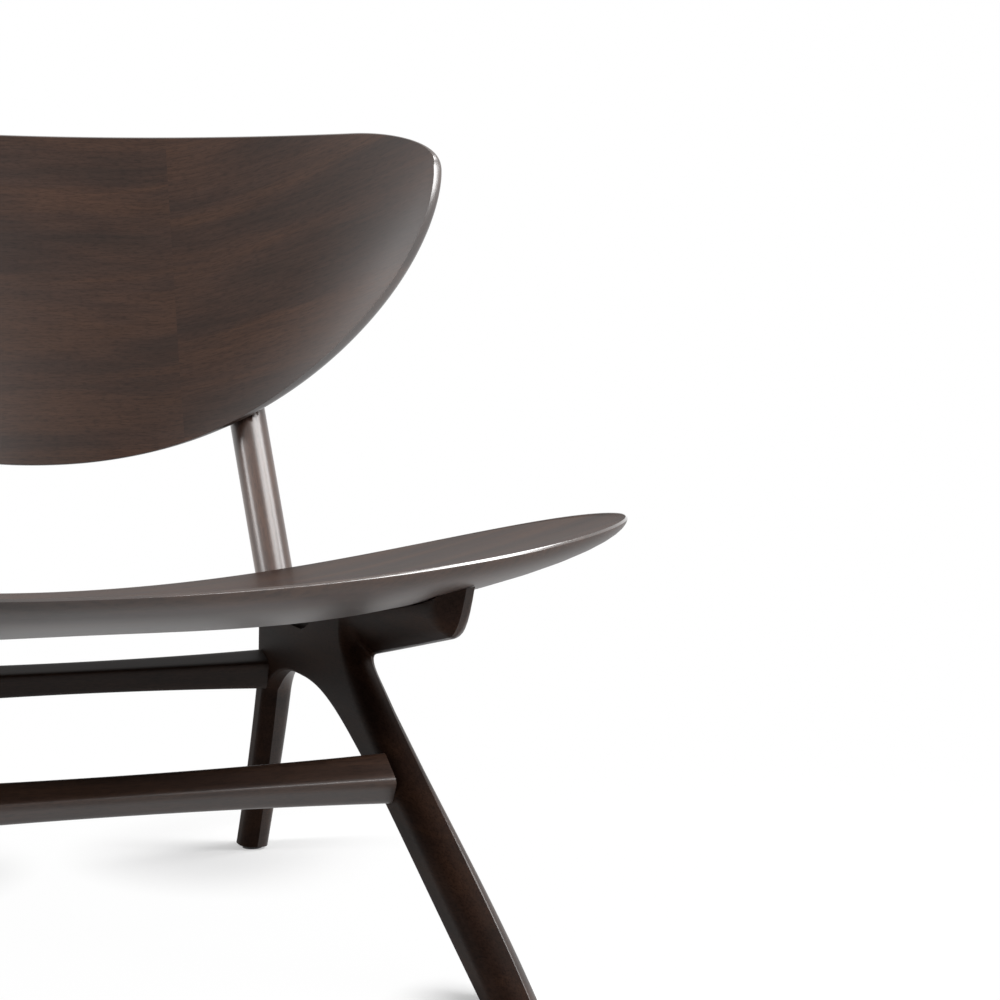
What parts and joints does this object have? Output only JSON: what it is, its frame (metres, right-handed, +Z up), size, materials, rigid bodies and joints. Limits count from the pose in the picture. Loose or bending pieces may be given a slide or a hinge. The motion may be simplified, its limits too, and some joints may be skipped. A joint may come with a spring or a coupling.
{
  "type": "lounge chair",
  "caption": "Low timber lounge chair with a wide dished seat whose ends rise like wings, a curved half-moon back on turned posts, and two raked side frames joined by stretchers.",
  "frame": {"origin": "on the floor, under the middle of the chair's bounding box", "axes": "+Z up, the chair faces -Y, +X to the right of someone who looks at the chair from the front"},
  "size_m": [0.914, 0.6902, 0.716],
  "materials": {
    "varnished_timber": "dark reddish-brown stain under satin varnish",
    "plain_timber": "unfinished, glued inside joints",
    "screw_steel": "plain",
    "foot_plastic": "matt"
  },
  "bodies": {
    "root": {"back_shell": "varnished_timber", "front_stretcher": "varnished_timber", "left_back_post": "varnished_timber", "left_front_foot_glide": "foot_plastic", "left_front_leg": "varnished_timber", "left_front_leg_tenon": "plain_timber", "left_front_seat_screw": "screw_steel", "left_front_stretcher_dowel": "plain_timber", "left_high_back_plug": "varnished_timber", "left_high_back_screw": "screw_steel", "left_low_back_plug": "varnished_timber", "left_low_back_screw": "screw_steel", "left_rear_foot_glide": "foot_plastic", "left_rear_leg": "varnished_timber", "left_rear_leg_tenon": "plain_timber", "left_rear_seat_screw": "screw_steel", "left_rear_stretcher_dowel": "plain_timber", "left_seat_rail": "varnished_timber", "rear_stretcher": "varnished_timber", "right_back_post": "varnished_timber", "right_front_foot_glide": "foot_plastic", "right_front_leg": "varnished_timber", "right_front_leg_tenon": "plain_timber", "right_front_seat_screw": "screw_steel", "right_front_stretcher_dowel": "plain_timber", "right_high_back_plug": "varnished_timber", "right_high_back_screw": "screw_steel", "right_low_back_plug": "varnished_timber", "right_low_back_screw": "screw_steel", "right_rear_foot_glide": "foot_plastic", "right_rear_leg": "varnished_timber", "right_rear_leg_tenon": "plain_timber", "right_rear_seat_screw": "screw_steel", "right_rear_stretcher_dowel": "plain_timber", "right_seat_rail": "varnished_timber", "seat_shell": "varnished_timber"}
  },
  "joints": []
}
